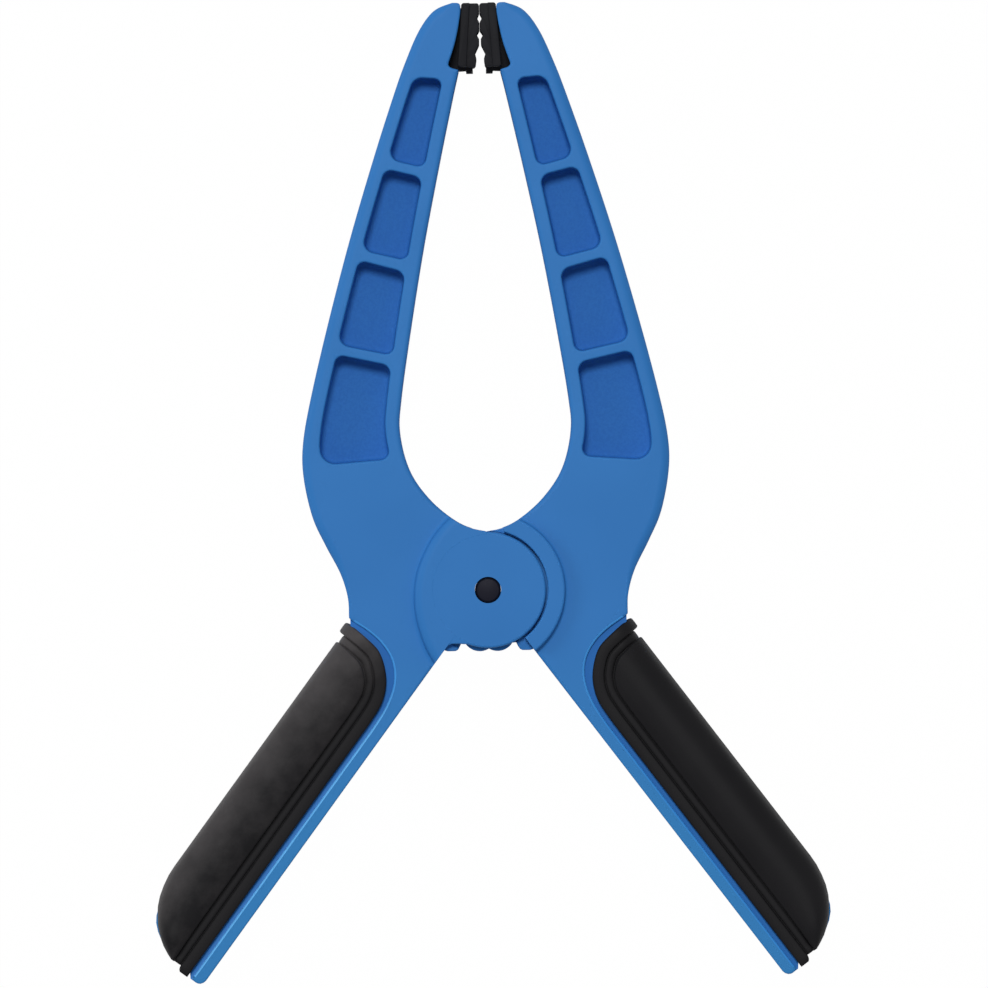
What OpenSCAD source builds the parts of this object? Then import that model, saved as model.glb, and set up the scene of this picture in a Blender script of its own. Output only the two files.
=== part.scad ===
// Spring clamp with long curved jaws, rocking jaw pads and soft grips.
// The clamp lies flat: +Y points from the pivot to the jaw tips, +Z is the pivot's axis, and z = 0 is the
// plane it rests on. Both arms are the same moulding: the left one is the right one turned over about Y.

/* [Hub] */
// Thickness across the hub, from ear face to ear face
hub_t = 26; // [25.5:0.1:27]
// Radius of an arm's outer ear
ear_r = 13.45; // [13.2:0.05:13.6]
// Thickness of each of the four ears
ear_t = 2.6; // [2.4:0.1:2.7]
// Side clearance between neighbouring ears
ear_gap = 0.25; // [0.15:0.05:0.35]
// Radius of the pivot pin
pin_r = 3; // [2.5:0.1:3.5]
// Running clearance of the pin in the ears
pin_fit = 0.05; // [0.03:0.01:0.08]

/* [Arms] */
// Thickness of the jaws and the handles
arm_t = 21; // [20.5:0.1:21.5]
// Angle between a handle and the clamp's centre line
splay = 36.75; // [36:0.25:38]
// Distance from the pivot to a handle's end
handle_l = 113.2; // [112:0.1:114]
// Width of the flanges round the jaw pockets
flange_w = 3.1; // [2.8:0.1:3.8]
// Thickness of the web between the pockets of the two faces
web_t = 6; // [4:0.5:10]
// How far the handles swing together, in degrees
open_limit = 54; // [45:1:56]

/* [Grips] */
// Height of a grip's crown over the middle of the clamp
grip_crown = 13; // [12.5:0.1:13]
// Width of the border round a grip's panel
border_w = 3; // [2.5:0.1:3.2]
// Width of the groove between the border and the panel
groove_w = 1.6; // [1.2:0.1:1.8]

/* [Jaw pads] */
// Length of a pad's gripping block along the pivot axis
pad_l = 19; // [16:0.5:19.5]
// Lean of the left pad's back from the centre line, in degrees
left_lean = 4; // [3.5:0.1:5.5]
// Lean of the right pad's back from the centre line, in degrees
right_lean = 5.4; // [3.5:0.1:5.6]

/* [Spring] */
// Diameter of the spring wire
wire_d = 3; // [2.6:0.1:3]
// Mean radius of the coil
coil_r = 9.2; // [8.6:0.1:9.6]
// Whole turns of the coil, to which the part turn between the legs is added
coil_turns = 3; // [2:1:3]
// Distance along a handle from the pivot to the spring leg's end
leg_u = 56; // [50:1:70]

/* [Hidden] */
$fn = 96;

mid = hub_t / 2;
arm_low = mid - arm_t / 2;
arm_high = mid + arm_t / 2;

// Hub levels, from the back up: outer ear, other arm's inner ear, spring, own inner ear, and
// the other arm's outer ear
inner_low = hub_t - 2 * ear_t - ear_gap;
inner_high = inner_low + ear_t;
ring_r = ear_r + 0.4;
cavity_r = ear_r + 1.35;
inner_ear_r = ear_r - 0.25;
lobe_r = 4;
lobe_at = 11.5;
lobe_reach = ear_r + 0.95;
spigot_r = 6.4;
spigot_gap = 0.6;
bore_r = pin_r + pin_fit;
boss_ring_r = 17.8;
boss_ear_r = 16.9;
lug_flank = open_limit / 2 + 0.3;

// Jaw stations: matching points on the inner and the outer edge, from the tip down to the hub
inner_keys = [
    [3, 135.7], [3, 133], [3.4, 128.5], [4.5, 121.5], [6.1, 114.5], [9.5, 99], [13.4, 80],
    [16.75, 61], [19.3, 44.5], [19.75, 36.5], [17.6, 27.8], [13, 21], [7, 16.5], [2, 14.4],
    [0.6, 9], [0, 0]
];
outer_keys = [
    [6, 135.7], [10.3, 133.9], [13.9, 129.2], [17.3, 121.6], [20.1, 114], [24.7, 100.3], [30.4, 82],
    [35.6, 63.3], [39.9, 46.2], [42.1, 35], [42.2, 27], [40.3, 17.6], [37.3, 10.8], [34, 4.3],
    [32.4, -1.2], [32.2, -5.7]
];
station_n = 3;
outer_round = 2.6;
inner_round = 1;

// Pockets as [first station, last station], with the ribs between them
pocket_spans = [[3.44, 5.05], [5.155, 6.18], [6.285, 7.355], [7.465, 9.68]];
pocket_corner = 1.8;
pocket_step = 0.12;

// Handle, in its own axes: u runs down the handle from the pivot, v runs outwards from its inner edge
core_dip = 0.04;
core_v = 18.6;
web_v = 15.2;
channel_end = 108.5;
channel_low = 5.5;
seat_depth = 1;
moat_w = 1.75;
grip_in = 4.05;
grip_out = 21.45;
collar_out = 22.4;
collar_u = 27.8;
border_high = 11.5;
groove_high = 10.6;
heel_t = 5;

// Half of the crowned section across the handle, from the groove out to the widest line
panel_keys = [
    [grip_in + border_w + groove_w, 11.7], [11, 12.6], [14, grip_crown], [17, 12.5], [19.8, 10.4],
    [21, 7], [grip_out, 0]
];

// Pad and its seat, on the right jaw
rock = [6.2, 129.5];
rock_angle = 12;
trunnion_r = 1.2;
trunnion_fit = 0.05;
trunnion_l = 12;
tongue_t = 6.4;
slot_t = 7;
seat_keys = [
    [4.15, 137], [4.15, 135.5], [4.25, 133.1], [4.7, 130.3], [5.3, 127.5], [6, 125], [7.15, 121.75]
];
pad_back = [4.43, 128.2];
teeth_inset = 0.5;
strip_w = 2.95;

// Block's profile across the jaw: x runs from its back to its teeth, y from its middle to the tip
pad_profile = [
    [0, -7.1], [0, 7.3], [-0.35, 7.6], [-3.3, 7.75], [-3.8, 7.3], [-3.85, 5.3], [-3.35, 3.9],
    [-4.2, 2.7], [-4.25, 1.2], [-3.55, -0.1], [-4.35, -1.4], [-4.3, -2.6], [-3.45, -4.1],
    [-3.85, -5.2], [-3.8, -6.7], [-3.5, -7.1]
];

// Spring legs touch the handle's web at their ends
leg_gap = 0.15;
leg_tilt = atan((web_v - wire_d / 2 - leg_gap - coil_r) / leg_u);
leg_angle = splay + leg_tilt;
sweep_angle = 180 - 2 * leg_angle + 360 * coil_turns;
coil_pitch = wire_d + 0.45;
coil_rise = coil_pitch * sweep_angle / 360;
rings_a_turn = 24;
wire_sides = 6;

// Centre line: left leg's end, tangent into the coil, round it, and out along the right leg
leg_down = [sin(leg_angle), -cos(leg_angle)];
leg_out = [cos(leg_angle), sin(leg_angle)];
coil_steps = ceil(sweep_angle / 360 * rings_a_turn);
coil_low = mid - coil_rise / 2;
coil_high = mid + coil_rise / 2;
coil_points = [
    for (k = [0:coil_steps])
        let (t = k / coil_steps, a = 180 - leg_angle - sweep_angle * t)
        [coil_r * cos(a), coil_r * sin(a), mid + coil_rise * (0.5 - t)]
];
leg_stops = [leg_u, leg_u - wire_d, leg_u * 0.6, leg_u * 0.3, 2];
wire_line = concat(
    [
        for (l = leg_stops)
            [-coil_r * leg_out.x - l * leg_down.x, coil_r * leg_out.y + l * leg_down.y, coil_high]
    ],
    coil_points,
    [
        for (i = [len(leg_stops) - 1:-1:0])
            let (l = leg_stops[i])
            [coil_r * leg_out.x + l * leg_down.x, coil_r * leg_out.y + l * leg_down.y, coil_low]
    ]
);

// Least gap of the coil to itself, measured on points at least half a turn apart
least_gap = min([
    for (i = [0:coil_steps], j = [i + rings_a_turn / 2:1:coil_steps]) norm(coil_points[i] - coil_points[j])
]) - wire_d;

blue = [0.22, 0.45, 0.70];
black = [0.16, 0.16, 0.17];
steel = [0.55, 0.56, 0.58];

// Points of a smooth curve through the keys, n steps to a span
function through(p, n) = [
    for (i = [0:len(p) - 2], k = [0:n - 1]) curve_point(p, i + k / n),
    p[len(p) - 1]
];

// One point of that curve, at s counted in spans from its start
function curve_point(p, s) =
    let (i = min(floor(s), len(p) - 2), t = s - i)
    let (a = p[max(i - 1, 0)], b = p[i], c = p[i + 1], d = p[min(i + 2, len(p) - 1)])
    (2 * b + (c - a) * t + (2 * a - 5 * b + 4 * c - d) * t * t + (3 * b - a - 3 * c + d) * t * t * t) / 2;

// Places a shape drawn in handle axes
module on_handle() {
    rotate([0, 0, splay - 90]) children();
}

// Turns the right-hand moulding over to make the left-hand one
module turned_over() {
    translate([0, 0, hub_t]) rotate([0, 180, 0]) children();
}

// A copy on the other face of the clamp
module both_faces() {
    children();
    translate([0, 0, hub_t]) mirror([0, 0, 1]) children();
}

// ---- Arm ----

// Cross-section of the jaw at station s: a flat-faced bar with rounded shoulders, widest at mid height
function jaw_section(s) =
    let (a = curve_point(inner_keys, s), b = curve_point(outer_keys, s))
    let (w = norm(b - a), dir = (b - a) / w, h = arm_t / 2)
    let (ro = min(outer_round, w * 0.4), ri = min(inner_round, w * 0.3))
    [
        for (q = concat(
            [for (k = [0:3]) let (t = 30 * k) [w - ro + ro * cos(t), h - ro * 0.6 + ro * 0.6 * sin(t)]],
            [for (k = [0:3]) let (t = 90 + 30 * k) [ri + ri * cos(t), h - ri + ri * sin(t)]],
            [for (k = [0:3]) let (t = 180 + 30 * k) [ri + ri * cos(t), -h + ri + ri * sin(t)]],
            [
                for (k = [0:3])
                    let (t = 270 + 30 * k) [w - ro + ro * cos(t), -h + ro * 0.6 + ro * 0.6 * sin(t)]
            ]
        )) [a.x + dir.x * q.x, a.y + dir.y * q.x, mid + q.y]
    ];

// The jaw as a loft through its sections
module jaw_bar() {
    last = (len(inner_keys) - 1) * station_n;
    sections = [for (i = [0:last]) jaw_section(i / station_n)];
    m = len(sections[0]);
    points = [for (section = sections) each section];
    walls = [
        for (i = [0:last - 1], j = [0:m - 1])
            let (a = i * m + j, b = i * m + (j + 1) % m, c = b + m, d = a + m)
            each [[a, c, b], [a, d, c]]
    ];
    caps = [[for (j = [0:m - 1]) j], [for (j = [m - 1:-1:0]) last * m + j]];
    polyhedron(points, concat(walls, caps));
}

// Outline of one pocket, between the flanges and from station s0 to s1
module pocket_outline(s0, s1) {
    n = ceil((s1 - s0) / pocket_step);
    steps = [for (k = [0:n]) s0 + (s1 - s0) * k / n];
    inner = [for (s = steps) flanged(s, curve_point(inner_keys, s), curve_point(outer_keys, s))];
    outer = [for (s = steps) flanged(s, curve_point(outer_keys, s), curve_point(inner_keys, s))];
    offset(r = pocket_corner, $fn = 32) offset(delta = -pocket_corner)
        polygon(concat(inner, [for (i = [n:-1:0]) outer[i]]));
}

// A point moved in from an edge by the flange's width
function flanged(s, from, to) = from + (to - from) / norm(to - from) * flange_w;

module pockets() {
    both_faces()
        for (span = pocket_spans)
            translate([0, 0, mid + web_t / 2]) linear_extrude(mid) pocket_outline(span[0], span[1]);
}

// Plan of a handle's core, from the hub to its rounded end
module core_outline() {
    polygon(concat(
        [[0, 0]],
        [[handle_l - 1.6, 0], [handle_l - 0.4, 0.7], [handle_l, 2], [handle_l, 3.4], [handle_l - 1.2, 4.4]],
        [for (p = through([[110.5, 8], [109.2, 12.4], [105.5, 16], [101, 18.2], [96, core_v]], 4)) p],
        [[24.5, core_v], [22.5, 20.5], [8, 21], [-12, 12]]
    ));
}

// The border's outer edge, drawn on past the handle's end and outer side
function grip_edge(far_u, far_v) = concat(
    through([[24, far_v], [24.2, 22.4], [25.4, 16], [28, 9.4], [31.6, 6.05], [36, 4.45], [42, grip_in]], 6),
    [[far_u, grip_in], [far_u, far_v]]
);

module grip_field(inset) {
    offset(delta = -inset) polygon(grip_edge(150, 60));
}

// Outer outline of the grip as the hand meets it
module grip_limit() {
    polygon(concat(
        [[20, 0], [handle_l - 0.5, 0], [handle_l + 0.1, 4.2], [handle_l, 6.9], [handle_l - 0.8, 9.6]],
        through([
            [111.9, 10.6], [110.2, 13.6], [107.6, 16.6], [104, 19.2], [100.4, 20.6], [96, grip_out]
        ], 4),
        [[20, grip_out]]
    ));
}

module grip_outline() {
    intersection() {
        grip_field(0);
        grip_limit();
    }
}

// Mid-height fin at the lower outer corner, which the grip leaves bare
module core_heel() {
    translate([0, 0, mid - heel_t / 2]) linear_extrude(heel_t) intersection() {
        offset(delta = 0.4) grip_limit();
        polygon([[102.5, 14], [102.5, 30], [113, 30], [113, 14]]);
    }
}

// Space in the handle for the spring's leg, open along the inner edge
module channel() {
    on_handle() translate([0, 0, channel_low]) linear_extrude(hub_t - 2 * channel_low)
        polygon([
            [0, -5], [channel_end, -5], [channel_end, web_v - 4], [channel_end - 4, web_v],
            [10, web_v], [0, 12]
        ]);
}

// Recess round and under the grip, on both faces
module grip_seat() {
    both_faces() on_handle()
        translate([0, 0, arm_high - seat_depth]) linear_extrude(5) grip_field(-moat_w);
}

// Raised boss on one face of the hub, which widens a little towards the handle
module boss(r, flare) {
    linear_extrude(mid) intersection() {
        union() {
            circle(r);
            polygon([[0, 0], [r, 0], [r - 1, -6.5], [14 + flare, -11], [12 + flare, -16], [10, -18]]);
        }
        hub_sector();
    }
}

// The hub's share that belongs to this arm: right of the jaw's inner edge and of the handle's
module hub_sector() {
    far = 40;
    intersection() {
        polygon(concat(
            [[0, -far], [0, 0], [0.15, 13], [0.15, 13.6], [1, 13.87]],
            [for (s = [13:-0.25:10]) curve_point(inner_keys, s)],
            [[far, 27], [far, -far]]
        ));
        on_handle() translate([-far, 0]) square(2 * far);
    }
}

module ear(low, r) {
    translate([0, 0, low]) cylinder(h = ear_t, r = r);
}

// Inner ear: its lower edge carries a small lobe, and a spigot on it centres the coil
module inner_ear() {
    ear(inner_low, inner_ear_r);
    rotate([0, 0, -90 + lobe_at])
        translate([lobe_reach - lobe_r, 0, inner_low]) cylinder(h = ear_t, r = lobe_r);
    translate([0, 0, mid + spigot_gap / 2]) cylinder(h = inner_low - mid, r = spigot_r);
}

// Plan of a stop lug: its flank meets the other arm's when the handles are squeezed to their limit
module lug_plan() {
    flank = [sin(lug_flank), -cos(lug_flank)];
    polygon([
        12.4 * flank, 15.3 * flank, [7.7, -14.05], [9.6, -14.05], [10.3, -13.7], [11.2, -13.2], [9, -10.4]
    ]);
}

// Lugs on the handle's flanges; the one beside the inner ear is joined to it
module stop_lugs() {
    translate([0, 0, arm_low + 0.2]) linear_extrude(channel_low - arm_low - 0.4) difference() {
        lug_plan();
        circle(cavity_r);
    }
    translate([0, 0, inner_low + 0.15]) linear_extrude(ear_t - 0.3) lug_plan();
}

// Tongue of the pad, with the lip that shows below the block
module tongue_plan() {
    polygon([
        [2, 135.4], [4.3, 135.4], [4.6, 131.9], [5.8, 131.3], rock + [1.9, 0.6], rock + [1.9, -0.6],
        [7.3, 125], [7.3, 121.2], [6.8, 120.75], [6.2, 120.4], [4.9, 120.05], [3.1, 120.1], [3.05, 119.5],
        [1.45, 119.5], [1.5, 121.5]
    ]);
}

module turned_pad(angle) {
    translate([rock.x, rock.y]) rotate(angle) translate([-rock.x, -rock.y]) children();
}

// Seat in the jaw: a convex face that the pad's back rolls on, a slot for its tongue and two blind sockets
module pad_seat() {
    translate([0, 0, -1]) linear_extrude(hub_t + 2) polygon(concat(
        through(seat_keys, 3),
        [[6.95, 121], [6.3, 120.55], [4.95, 120.15], [0, 119.9], [0, 137]]
    ));
    translate([0, 0, mid - slot_t / 2]) linear_extrude(slot_t) offset(delta = 0.3) hull() {
        tongue_plan();
        turned_pad(rock_angle) tongue_plan();
    }
    translate([rock.x, rock.y, mid - trunnion_l / 2 - 0.2])
        cylinder(h = trunnion_l + 0.4, r = trunnion_r + trunnion_fit);
}

// Right-hand arm, whose outer ear is at the back
module arm() {
    difference() {
        union() {
            jaw_bar();
            on_handle()
                translate([0, 0, arm_low + core_dip]) linear_extrude(arm_t - 2 * core_dip) core_outline();
            boss(boss_ear_r, 1);
            translate([0, 0, mid]) boss(boss_ring_r, 0);
        }
        translate([0, 0, ear_t]) cylinder(h = inner_low - ear_t, r = cavity_r);
        translate([0, 0, inner_high]) cylinder(h = hub_t, r = ring_r);
        channel();
        grip_seat();
        pockets();
        pad_seat();
    }
}

module moulded_arm() {
    difference() {
        union() {
            arm();
            ear(0, ear_r);
            inner_ear();
            stop_lugs();
            on_handle() core_heel();
        }
        translate([0, 0, -1]) cylinder(h = hub_t + 2, r = bore_r);
    }
}

module right_arm() {
    color(blue) moulded_arm();
}

module left_arm() {
    color(blue) turned_over() moulded_arm();
}

// ---- Grip ----

module crowned_panel() {
    half = through(panel_keys, 4);
    back = [for (i = [len(half) - 2:-1:0]) [half[i].x, -half[i].y]];
    translate([20, 0, mid]) rotate([90, 0, 90]) linear_extrude(handle_l) polygon(concat(half, back));
}

// A slab of the given half height over a plan
module slab(half_t) {
    translate([0, 0, mid - half_t]) linear_extrude(2 * half_t) children();
}

module grip() {
    difference() {
        union() {
            intersection() {
                crowned_panel();
                slab(hub_t) intersection() {
                    grip_field(border_w + groove_w);
                    grip_limit();
                }
            }
            slab(groove_high) intersection() {
                grip_outline();
                translate([20, 0]) square([150, grip_out - 0.75]);
            }
            slab(border_high) difference() {
                grip_outline();
                grip_field(border_w);
            }
            // Collar where the border passes round the handle's outer side
            slab(border_high - 1) intersection() {
                difference() {
                    grip_field(0);
                    grip_field(border_w);
                }
                translate([20, 15]) square([collar_u - 20, collar_out - 15]);
            }
        }
        translate([0, 0, arm_low + seat_depth]) linear_extrude(arm_t - 2 * seat_depth) core_outline();
        core_heel();
    }
}

module right_grip() {
    color(black) on_handle() grip();
}

module left_grip() {
    color(black) turned_over() on_handle() grip();
}

// ---- Jaw pad ----

module toothed_block() {
    difference() {
        translate([0, 0, mid - pad_l / 2]) linear_extrude(pad_l) polygon(pad_profile);
        both_faces() translate([-10 - strip_w, -10, mid + pad_l / 2 - teeth_inset]) cube([10, 20, 5]);
    }
}

module jaw_pad(lean) {
    translate([pad_back.x, pad_back.y, 0]) rotate([0, 0, lean]) toothed_block();
    translate([0, 0, mid - tongue_t / 2]) linear_extrude(tongue_t) tongue_plan();
    translate([rock.x, rock.y, mid - trunnion_l / 2]) cylinder(h = trunnion_l, r = trunnion_r);
}

module right_jaw_pad() {
    color(black) jaw_pad(right_lean);
}

module left_jaw_pad() {
    color(black) turned_over() jaw_pad(left_lean);
}

// ---- Pivot pin ----

// Chamfered pin, a press fit in the left arm's outer ear and free in the other ears
module pivot_pin() {
    chamfer = 0.45;
    low = 0;
    high = hub_t - 0.4;
    color(black) {
        rotate_extrude() polygon([
            [0, low], [pin_r - chamfer, low], [pin_r, low + chamfer], [pin_r, hub_t - ear_t],
            [bore_r, hub_t - ear_t + 0.2], [bore_r, high - chamfer], [bore_r - chamfer, high], [0, high]
        ]);
    }
}

// ---- Torsion spring ----

// Direction of the wire at point i
function wire_dir(i) =
    let (a = wire_line[max(i - 1, 0)], b = wire_line[min(i + 1, len(wire_line) - 1)])
    (b - a) / norm(b - a);

// One ring of the tube: its first side vector lies level, square to the wire
function wire_ring(i) =
    let (d = wire_dir(i), s = cross(d, [0, 0, 1]) / norm(cross(d, [0, 0, 1])), u = cross(s, d))
    [
        for (k = [0:wire_sides - 1])
            let (t = 360 * k / wire_sides)
            wire_line[i] + wire_d / 2 * (s * cos(t) + u * sin(t))
    ];

module torsion_spring() {
    n = len(wire_line);
    rings = [for (i = [0:n - 1]) wire_ring(i)];
    walls = [
        for (i = [0:n - 2], j = [0:wire_sides - 1])
            let (a = i * wire_sides + j, b = i * wire_sides + (j + 1) % wire_sides)
            each [[a, b, b + wire_sides], [a, b + wire_sides, a + wire_sides]]
    ];
    ends = [[for (j = [wire_sides - 1:-1:0]) j], [for (j = [0:wire_sides - 1]) (n - 1) * wire_sides + j]];
    color(steel) polyhedron([for (ring = rings) each ring], concat(walls, ends));
}

echo(least_gap_of_coil_mm = least_gap);

left_arm();
right_arm();
left_grip();
right_grip();
left_jaw_pad();
right_jaw_pad();
pivot_pin();
torsion_spring();
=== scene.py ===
"""The finished look of the spring clamp: moulded arms, soft grips, rocking pads, pin and spring."""

import math

import bmesh
import bpy
from mathutils import Matrix, Vector


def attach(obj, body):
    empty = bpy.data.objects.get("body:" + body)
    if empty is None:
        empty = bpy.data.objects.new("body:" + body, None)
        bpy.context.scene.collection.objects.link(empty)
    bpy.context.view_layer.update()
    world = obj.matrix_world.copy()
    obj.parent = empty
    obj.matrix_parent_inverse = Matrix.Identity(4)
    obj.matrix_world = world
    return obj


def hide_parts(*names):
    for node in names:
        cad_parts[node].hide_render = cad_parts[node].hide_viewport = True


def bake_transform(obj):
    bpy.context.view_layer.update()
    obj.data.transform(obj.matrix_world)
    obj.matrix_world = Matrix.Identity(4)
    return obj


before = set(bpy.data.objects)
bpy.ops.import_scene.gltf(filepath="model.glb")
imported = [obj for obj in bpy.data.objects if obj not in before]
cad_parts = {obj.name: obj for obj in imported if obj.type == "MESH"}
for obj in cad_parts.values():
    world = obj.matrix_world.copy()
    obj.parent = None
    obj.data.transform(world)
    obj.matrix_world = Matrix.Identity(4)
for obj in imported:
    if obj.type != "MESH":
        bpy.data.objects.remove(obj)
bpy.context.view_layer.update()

MM = 0.001

# -------------------- sizes, in millimetres

# Thickness of the hub, the middle plane, and the arms' two faces
HUB_T = 26.0
MID = HUB_T / 2
ARM_LOW, ARM_HIGH = 2.5, 23.5
# Angle of each handle from the line between the jaws
SPLAY = math.radians(36.75)
# Outer ear, inner ear and the room that the inner ear's lobes turn in
EAR_T, EAR_R = 2.6, 13.38
INNER_LOW, INNER_HIGH = 20.55, 23.15
INNER_EAR_R = 13.2
LOBE_ROOM_R = 14.7
# Radii of the hub's cavity, the inside of its raised ring, the bore and the pin
CAVITY_R, RING_R = 14.8, 13.92
BORE_R, PIN_R = 3.05, 3.0
# Handle: its length, the core's face under the grip, and how far the core and its channel reach across
HANDLE_L = 113.2
SEAT_Z = ARM_HIGH - 1.0
CORE_V, WEB_V = 18.6, 15.2
# Floor of the pockets in the jaws, and the line that the right pad rocks about
POCKET_FLOOR = MID + 3.0
ROCK = (6.2, 129.5)
# Corners closer than MERGE are one, and edges that turn by less than SMOOTH_BELOW look smooth
MERGE = 1e-4
SMOOTH_BELOW = math.radians(35.0)

# Matching points on the jaw's inner and outer edge, from the tip down to the hub
INNER_KEYS = [
    (3, 135.7), (3, 133), (3.4, 128.5), (4.5, 121.5), (6.1, 114.5), (9.5, 99), (13.4, 80), (16.75, 61),
    (19.3, 44.5), (19.75, 36.5), (17.6, 27.8), (13, 21), (7, 15.95), (2, 13.93), (-2, 13.9), (-6, 15.5),
]
OUTER_KEYS = [
    (6, 135.7), (10.3, 133.9), (13.9, 129.2), (17.3, 121.6), (20.1, 114), (24.7, 100.3), (30.4, 82),
    (35.6, 63.3), (39.9, 46.2), (42.1, 35), (42.2, 27), (40.3, 17.6), (37.3, 10.8), (34, 4.3), (32.4, -1.2),
    (32.2, -5.7),
]
# The seat under the jaw pad, from the tip down
SEAT_KEYS = [
    (5.1, 135.66), (4.5, 135.5), (4.2, 135.05), (4.15, 134.3), (4.25, 133.1), (4.7, 130.3), (5.3, 127.5),
    (6, 125), (7.15, 121.75),
]
# Each pocket: where it starts and ends on the inner edge and on the outer edge, then its flange widths
POCKETS = [
    (3.49, 5.12, 3.37, 5.03, 2.8, 2.85), (5.195, 6.235, 5.115, 6.165, 2.8, 2.85),
    (6.33, 7.41, 6.24, 7.335, 2.8, 2.85), (7.495, 9.70, 7.415, 9.78, 2.8, 3.2),
]
# How far along the outer edge, in spans from the tip, the arm's own outline runs
JAW_SPANS = 14.9
# Handle axes: u runs down the handle, v outwards from its inner edge. The moat's outer side is straight along
# the handle's strip, and turns round the grip's collar above COLLAR_U
STRIP_V = 2.92
COLLAR_U = 42
MOAT_KEYS = [
    (24.12, 21.5), (24.05, 20.3), (23.95, 16.4), (24.43, 12.7), (25.93, 8.95), (28.6, 6.1), (32.05, 4.3),
    (36.6, 3.25), (COLLAR_U, STRIP_V),
]


def curve_point(keys, s):
    """A point of the smooth curve through the keys, at s counted in spans from its start."""
    i = min(int(s), len(keys) - 2)
    t = s - i
    a, b, c, d = (Vector(keys[min(max(k, 0), len(keys) - 1)]) for k in (i - 1, i, i + 1, i + 2))
    return (2 * b + (c - a) * t + (2 * a - 5 * b + 4 * c - d) * t ** 2 + (3 * b - a - 3 * c + d) * t ** 3) / 2


def through(keys, n):
    """Points of the smooth curve through the keys, n steps to a span."""
    last = len(keys) - 1
    return [curve_point(keys, i / n) for i in range(last * n + 1)]


def from_handle(u, v):
    """A point given in handle axes, in the clamp's plan."""
    return Vector((u * math.sin(SPLAY) + v * math.cos(SPLAY), v * math.sin(SPLAY) - u * math.cos(SPLAY)))


def plan_of(*pairs):
    """Points of a plan from their (x, y)."""
    return [Vector(p) for p in pairs]


def handle_plan(*pairs):
    """Points of a plan from their (u, v) in handle axes."""
    return [from_handle(*p) for p in pairs]


def ramp(x, low, high):
    """0 up to low, 1 from high on, and straight between them."""
    return min(max((x - low) / (high - low), 0), 1)


# -------------------- mesh tools


def flat_face(bm, outline, z):
    """One face over an outline, looking up."""
    face = bm.faces.new([bm.verts.new((p[0], p[1], z)) for p in outline])
    face.normal_update()
    if face.normal.z < 0:
        face.normal_flip()
    return face


def step_face(bm, face, inset, dz):
    """Draws a face's rim in by inset and moves the face dz along its normal."""
    bmesh.ops.inset_individual(bm, faces=[face], thickness=inset, depth=dz, use_even_offset=True)
    face.normal_update()


def quarter(r, n, outward=True):
    """Steps of a quarter round: (inset, move along the normal) from one tangent to the other."""
    turn = [math.pi / 2 * k / n for k in range(n + 1)]
    steps = [
        (r * (math.cos(a) - math.cos(b)), r * (math.sin(b) - math.sin(a))) for a, b in zip(turn, turn[1:])
    ]
    return steps if outward else [(dz, inset) for inset, dz in steps]


def rim_normals(face):
    """Inward unit normals of a face's rim at its corners, long enough to keep an even width."""
    corners = [v.co.copy() for v in face.verts]
    n = len(corners)
    out = []
    for i in range(n):
        a = (corners[i] - corners[i - 1]).to_2d()
        b = (corners[(i + 1) % n] - corners[i]).to_2d()
        a = a.normalized() if a.length > 1e-9 else b.normalized()
        b = b.normalized() if b.length > 1e-9 else a
        inward = Vector((-a.y, a.x))
        m = inward + Vector((-b.y, b.x))
        m = m.normalized() if m.length > 1e-6 else inward
        out.append(m / max(m.dot(inward), 0.35))
    return out


def rise(bm, outline, rows):
    """Raises a wall over an outline and returns its top: each row gives every corner its inset and height."""
    face = flat_face(bm, outline, 0)
    normals = rim_normals(face)
    start = [v.co.copy() for v in face.verts]
    for i, row in enumerate(rows):
        if i:
            face = bmesh.ops.extrude_discrete_faces(bm, faces=[face])["faces"][0]
        for v, p, m in zip(face.verts, start, normals):
            inset, z = row(p)
            v.co = (p.x + m.x * inset, p.y + m.y * inset, z)
    return face


def rim_rows(top, radius_at, n, squash=1.0):
    """Rows of a rounded rim that ends level with top; the radius is a plain number or goes by place."""
    at = radius_at if callable(radius_at) else lambda p: radius_at

    def row(t):
        return lambda p: (at(p) * (1 - math.cos(t)), top - at(p) * squash * (1 - math.sin(t)))

    return [row(math.pi / 2 * k / n) for k in range(n + 1)]


def foot_rows(level, at, n, squash):
    """Rows of a hollow foot that runs out into the surface at this level, with its radius by place."""

    def row(t):
        return lambda p: (-at(p) * (1 - math.sin(t)), level + at(p) * squash * (1 - math.cos(t)))

    return [lambda p: (-at(p), level - 0.6)] + [row(math.pi / 2 * k / n) for k in range(n + 1)]


def wall_rows(low, foot, high, rim, n):
    """Rows of an upright wall with a chamfered foot and a rounded rim."""
    return [lambda p: (foot, low), lambda p: (0, low + foot)] + rim_rows(high, rim, n)


def plate(name, outline, rows):
    """A closed working object made by rise."""
    bm = bmesh.new()
    rise(bm, outline, rows)
    close_holes(bm)
    return block(name, bm)


def lift(bm, dz):
    """Moves a shape along the pivot axis."""
    bmesh.ops.translate(bm, verts=bm.verts, vec=(0, 0, dz))


def both_halves(bm, merge=MERGE):
    """Completes a shape that was made above the middle plane and is open there."""
    lift(bm, -MID)
    bmesh.ops.mirror(bm, geom=bm.verts[:] + bm.edges[:] + bm.faces[:], merge_dist=merge, axis="Z")
    lift(bm, MID)
    return bm


def slab(outline, high, rim):
    """A closed plate about the middle plane, up to the given height, rounded at both faces."""
    bm = bmesh.new()
    rise(bm, outline, [lambda p: (0, MID)] + rim_rows(high, rim, 3))
    return both_halves(bm)


def gather(parts):
    """Several closed shells as one bmesh."""
    whole = bmesh.new()
    for bm in parts:
        mesh = bpy.data.meshes.new("part")
        bm.to_mesh(mesh)
        bm.free()
        whole.from_mesh(mesh)
        bpy.data.meshes.remove(mesh)
    return whole


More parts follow.
